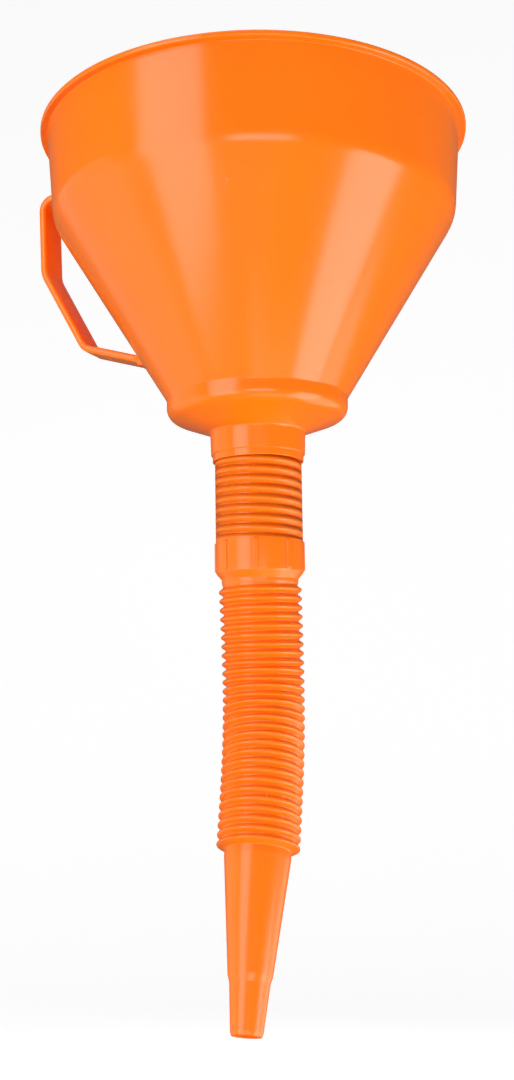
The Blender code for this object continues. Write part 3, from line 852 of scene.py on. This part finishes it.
# how the melt flowed down from the rim, as a value around 0.5
sockets = {"Position": ("Vector", None), "Scale": ("Float", 14.0)}
flow, given = effect("melt_flow", sockets, {"Value": "Float"})
streak = noise(flow, squeezed(flow, given["Position"], 1.0, 1.0, 0.16), given["Scale"], 3.0, 0.55)
cloud = noise(flow, given["Position"], flow.math("MULTIPLY", given["Scale"], 0.9), 2.0)
flow.add("NodeGroupOutput", flow.math("MULTIPLY", flow.math("ADD", streak, cloud), 0.5))

# fine scuffs in all directions, as a mask
sockets = {"Position": ("Vector", None), "Scale": ("Float", 120.0), "Amount": ("Float", 0.3)}
scuff, given = effect("handling_scuffs", sockets, {"Mask": "Float"})
lines = []
for x, y, z in ((1.0, 1.0, 0.05), (1.0, 0.08, 0.6), (0.07, 1.0, 0.9)):
    line = noise(scuff, squeezed(scuff, given["Position"], x, y, z), given["Scale"], 2.0, 0.6)
    lines.append(scuff.ranged(line, 0.66, 0.74))
patch = scuff.ranged(noise(scuff, given["Position"], 22.0, 2.0), 0.5, 0.68)
most = scuff.math("MAXIMUM", scuff.math("MAXIMUM", lines[0], lines[1]), lines[2])
patchy = scuff.math("MULTIPLY", most, patch)
scuff.add("NodeGroupOutput", scuff.math("MULTIPLY", patchy, given["Amount"]))
print("effects", [tree.name for tree in bpy.data.node_groups if tree.type == "SHADER"])

# %% [markdown]
# ## Moulded polyethylene
# Polyethylene is waxy: it has a soft gloss, it lets a little light in under the surface, and strong pigment
# makes it nearly opaque. Subsurface scattering at a millimetre or two gives the warm shadow sides that an
# orange bowl has. The bowl is injection moulded, so it's smoother and glossier than the blown spout, which
# has a rougher grain.

# %% Plastic finishes
def group(wire, name, out, **named):
    """Use one of the shared effects. Returns one of its outputs."""
    node = wire.tree.nodes.new("ShaderNodeGroup")
    node.node_tree = bpy.data.node_groups[name]
    for key, value in named.items():
        wire.fill(node.inputs[key], value)
    return node.outputs[out]


def new_material(name):
    """A material with its wiring and its Principled BSDF."""
    material = bpy.data.materials.new(name)
    material.use_nodes = True
    return material, Wiring(material.node_tree), material.node_tree.nodes["Principled BSDF"]


ORANGE = (1.0, 0.185, 0.004)
DEEP_ORANGE = (0.97, 0.168, 0.003)
POLYETHYLENE_IOR = 1.51
GRAIN_STRENGTH = 0.35
GLOW_SHARE = 0.12
GLOW_REACH = (1.0, 0.28, 0.05)
GLOW_SCALE = 1.6 * MM


def polyethylene(name, roughness, grain_height, grain_scale, scuffs):
    """A pigmented, waxy plastic."""
    material, wire, shader = new_material(name)
    position = wire.add("ShaderNodeTexCoord", out="Object")
    streaks = wire.ranged(group(wire, "melt_flow", "Value", Position=position), 0.35, 0.65)
    rubbed = group(wire, "handling_scuffs", "Mask", Position=position, Amount=scuffs)
    wire.fill(shader.inputs["Base Color"], wire.colours(streaks, DEEP_ORANGE, ORANGE))
    rough = wire.math("ADD", wire.math("MULTIPLY", streaks, 0.05), roughness)
    wire.fill(shader.inputs["Roughness"], wire.math("ADD", rough, wire.math("MULTIPLY", rubbed, 0.3)))
    height = group(wire, "mould_grain", "Height", Position=position, Scale=grain_scale)
    scratched = wire.math("SUBTRACT", height, wire.math("MULTIPLY", rubbed, 0.8))
    surface = {"Strength": GRAIN_STRENGTH, "Distance": grain_height, "Height": scratched}
    wire.fill(shader.inputs["Normal"], wire.add("ShaderNodeBump", named=surface))
    shader.inputs["IOR"].default_value = POLYETHYLENE_IOR
    shader.inputs["Subsurface Weight"].default_value = GLOW_SHARE
    shader.inputs["Subsurface Radius"].default_value = GLOW_REACH
    shader.inputs["Subsurface Scale"].default_value = GLOW_SCALE
    return material


bowl_finish = polyethylene("moulded_polyethylene", 0.17, 0.05 * MM, 700.0, scuffs=0.5)
spout_finish = polyethylene("blown_polyethylene", 0.24, 0.07 * MM, 850.0, scuffs=0.35)
strainer_finish = polyethylene("strainer_polyethylene", 0.22, 0.05 * MM, 900.0, scuffs=0.3)
print("plastics ready")

# %% [markdown]
# ## Brass wire
# The gauze is drawn brass wire. Liquid and air dull it unevenly, so the colour and the gloss vary slowly
# over the disc, and fine draw lines break the highlight along each wire.

# %% Brass finish
brass, wire, shader = new_material("brass_wire")
position = wire.add("ShaderNodeTexCoord", out="Object")
tarnish = wire.ranged(noise(wire, position, 60.0, 3.0), 0.4, 0.65)
BRIGHT_BRASS = (0.80, 0.56, 0.24)
DULL_BRASS = (0.46, 0.30, 0.12)
wire.fill(shader.inputs["Base Color"], wire.colours(tarnish, BRIGHT_BRASS, DULL_BRASS))
wire.fill(shader.inputs["Roughness"], wire.ranged(tarnish, 0.0, 1.0, 0.26, 0.48))
drawn = {"Distance": 0.01 * MM, "Height": noise(wire, position, 2500.0, 1.0)}
wire.fill(shader.inputs["Normal"], wire.add("ShaderNodeBump", named=drawn))
shader.inputs["Metallic"].default_value = 1.0
print("brass ready")

# %% [markdown]
# ## Putting the pieces on their bodies
# A piece that moves with one body rides on it. Each piece also says which plain solid of the measured model it
# stands for, so that the solid is hidden and still works for collision.

# %% Bowl, handle and strainer
GAUZE_PITCH = 1.15 * MM
WIRE_RADIUS = 0.16 * MM
WIRE_END_GAP = 0.3 * MM
gauze = grown("strainer_gauze_weave", weave, {
    "Radius": ring_inner + GROOVE_DEPTH - WIRE_END_GAP,
    "Pitch": GAUZE_PITCH,
    "Wire": WIRE_RADIUS,
    "Height": gauze_z,
    "Material": brass,
})
for piece, body, node, slot_name, finish in (
    (bowl, "bowl", "funnel_bowl", "orange_plastic", bowl_finish),
    (handle, "bowl", "carry_handle", "orange_plastic", bowl_finish),
    (strainer, "strainer", "strainer_ring", "strainer_plastic", strainer_finish),
    (gauze, "strainer", "strainer_gauze", "brass_gauze", brass),
    (nozzle, "nozzle", "spout_nozzle", "spout_plastic", spout_finish),
):
    painted(piece, finish)
    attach(piece, body)
    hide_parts(node)
print("gauze", len(gauze.data.polygons), "faces")

# %% Pipe, thread and ribs
THREAD_DEPTH = THREAD_CREST - THREAD_ROOT
CREST_AT = 0.6
SPIRAL_STEPS = 96
thread_start = pipe_low.z + (CREST_AT - 1) * THREAD_PITCH
thread_turns = (pipe_high.z - pipe_low.z) / THREAD_PITCH
thread = grown("spout_thread_ridge", ridge_tree, {
    "Radius": THREAD_ROOT,
    "Turns": thread_turns,
    "Pitch": THREAD_PITCH,
    "Depth": THREAD_DEPTH,
    "Start": (0, 0, thread_start),
    "Angle": 0.0,
    "Steps": SPIRAL_STEPS,
    "Material": spout_finish,
})
RIB_COUNT = 8
RIB_HEIGHT = 0.5 * MM
RIB_SINK = 0.9 * MM
RIB_WIDTH = 2.0 * MM
RIB_ROUND = 0.45 * MM
RIB_END_GAPS = 0.8 * MM
RIB_TURN = math.radians(-5)
ribs = grown("collar_grip_ribs", ribs_tree, {
    "Count": RIB_COUNT,
    "Radius": collar_radius + (RIB_HEIGHT - RIB_SINK) / 2,
    "Size": (RIB_HEIGHT + RIB_SINK, RIB_WIDTH, COLLAR_LENGTH - RIB_END_GAPS),
    "Rounding": RIB_ROUND,
    "Height": (collar_high.z + taper_z) / 2,
    "Angle": RIB_TURN,
    "Material": spout_finish,
})
for piece in (pipe, thread, ribs):
    painted(piece, spout_finish)
    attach(piece, "spout_top")
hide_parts("spout_thread", "spout_collar")
faces = {piece.name: len(piece.data.polygons) for piece in (pipe, thread, ribs)}
print("thread", round(thread_turns, 1), "turns, faces", faces)

# %% Bellows, one piece across each valley
AROUND = 96
ALONG = 20
VALLEY_SHARPNESS = 1.25
SKIN_EDGE_ANGLE = 60
stations = [top_bend] + middles + [last_bend]
radii = [pipe_end] + crests + [NOZZLE_TOP]
for k, hinge in enumerate(hinges):
    valley = (radii[k] + radii[k + 1]) / 2 - BELLOWS_DEPTH
    if k == 0:
        valley = first_valley
    if k == len(hinges) - 1:
        valley = NOZZLE_TOP
    skin = grown(f"bellows_skin_{k:02d}", skin_tree, {
        "Start": stations[k],
        "Hinge": hinge,
        "End": stations[k + 1],
        "Start Radius": radii[k],
        "Valley Radius": valley,
        "End Radius": radii[k + 1],
        "Valley Sharpness": VALLEY_SHARPNESS,
        "Around": AROUND,
        "Along": ALONG,
        "Material": spout_finish,
    })
    wall = skin.modifiers.new("wall", "SOLIDIFY")
    wall.thickness = BELLOWS_WALL
    wall.offset = -1
    applied(skin)
    edged(skin, SKIN_EDGE_ANGLE)
    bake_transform(skin)
    if k:
        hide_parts(ring_nodes[k - 1])
print("bellows", len(hinges), "pieces of", len(skin.data.polygons), "faces")

# %% [markdown]
# ## A plain place to stand in
# The funnel hangs over a pale round sweep, a floor that curves up into a wall on all sides, so that nothing
# behind it draws the eye from any side. The paper glows a little by itself, which keeps it evenly white,
# and it's left out of the light that reaches the plastic.

# %% Floor and sweep
FLOOR_Z = -0.75
FLOOR_RADIUS = 1.7
SWEEP_ROUND = 0.6
WALL_TOP = 3.0
ROUND_STEPS = 16
SWEEP_STEPS = 96
PAPER_GLOW = 0.86
side = []
for k in range(ROUND_STEPS + 1):
    turn = math.pi / 2 * k / ROUND_STEPS
    side.append((FLOOR_RADIUS + SWEEP_ROUND * math.sin(turn), FLOOR_Z + SWEEP_ROUND * (1 - math.cos(turn))))
side.append((FLOOR_RADIUS + SWEEP_ROUND, WALL_TOP))
bm = bmesh.new()
centre = bm.verts.new((0, 0, FLOOR_Z))
columns = []
for k in range(SWEEP_STEPS):
    turn = math.tau * k / SWEEP_STEPS
    columns.append([bm.verts.new((r * math.cos(turn), r * math.sin(turn), z)) for r, z in side])
for one, other in zip(columns, columns[1:] + columns[:1]):
    bm.faces.new((centre, one[0], other[0]))
    for a, b, c, d in zip(one, one[1:], other[1:], other):
        bm.faces.new((a, b, c, d))
mesh = bpy.data.meshes.new("pale_sweep")
bm.to_mesh(mesh)
bm.free()
sweep = show("pale_sweep", mesh)
sweep.data.shade_smooth()
pale, wire, shader = new_material("pale_paper")
mottle = noise(wire, wire.add("ShaderNodeTexCoord", out="Object"), 3.0)
wire.fill(shader.inputs["Base Color"], wire.colours(mottle, (0.34, 0.34, 0.34), (0.36, 0.36, 0.36)))
shader.inputs["Roughness"].default_value = 0.9
shader.inputs["Emission Color"].default_value = (1, 1, 1, 1)
shader.inputs["Emission Strength"].default_value = PAPER_GLOW
painted(sweep, pale)
sweep.visible_glossy = False
sweep.visible_diffuse = False
print("sweep", len(sweep.data.polygons), "faces")

# %% [markdown]
# ## Studio light
# A tall box on the left and a low box on the right carry the long highlights down the round walls, and five
# more bring out the edges and the middle. The lights without shine only fill the shadows: they don't show in
# the gloss.

# %% Lights
CENTRE = Vector((0, 0, -0.12))
ROOM_LIGHT = 0.13


def softbox(name, azimuth, elevation, distance, width, height, power, shine=True):
    """A rectangular light around the funnel. Azimuth 0 is the viewer's side, and right is positive."""
    light = bpy.data.lights.new(name, "AREA")
    light.shape = "RECTANGLE"
    light.size = width
    light.size_y = height
    light.energy = power
    obj = bpy.data.objects.new(name, light)
    bpy.context.scene.collection.objects.link(obj)
    turn, up = math.radians(azimuth), math.radians(elevation)
    ray = Vector((math.sin(turn) * math.cos(up), -math.cos(turn) * math.cos(up), math.sin(up)))
    obj.location = CENTRE + ray * distance
    obj.rotation_euler = (-ray).to_track_quat("-Z", "Y").to_euler()
    obj.visible_camera = False
    obj.visible_glossy = shine


softbox("left_box", -42, 0, 1.0, 0.62, 1.3, 7.0)
softbox("right_low_box", 70, -32, 0.9, 0.5, 0.75, 4.0)
softbox("far_left_fill", -105, -10, 1.3, 1.4, 1.4, 3.0)
softbox("low_front_fill", 18, -54, 1.1, 0.7, 0.5, 1.2)
softbox("front_fill", 4, -10, 1.6, 0.9, 0.5, 4.2)
softbox("top_light", -60, 68, 1.1, 1.0, 1.0, 3.2)
softbox("soft_front", -20, -26, 1.5, 1.5, 1.5, 6.8, shine=False)
softbox("soft_right", 74, -36, 0.6, 0.6, 0.6, 2.4, shine=False)
softbox("soft_left", -84, -24, 1.0, 0.8, 0.8, 3.6, shine=False)
softbox("right_back_low", 112, -36, 0.8, 0.6, 0.6, 1.6)
softbox("soft_back", 172, 20, 1.4, 1.4, 1.4, 11.0, shine=False)
softbox("soft_top", 0, 84, 1.0, 0.8, 0.8, 5.0, shine=False)
world = bpy.data.worlds.new("pale_room")
world.use_nodes = True
world.node_tree.nodes["Background"].inputs["Color"].default_value = (1, 1, 1, 1)
world.node_tree.nodes["Background"].inputs["Strength"].default_value = ROOM_LIGHT
bpy.context.scene.world = world
bpy.context.scene.view_settings.view_transform = "Standard"
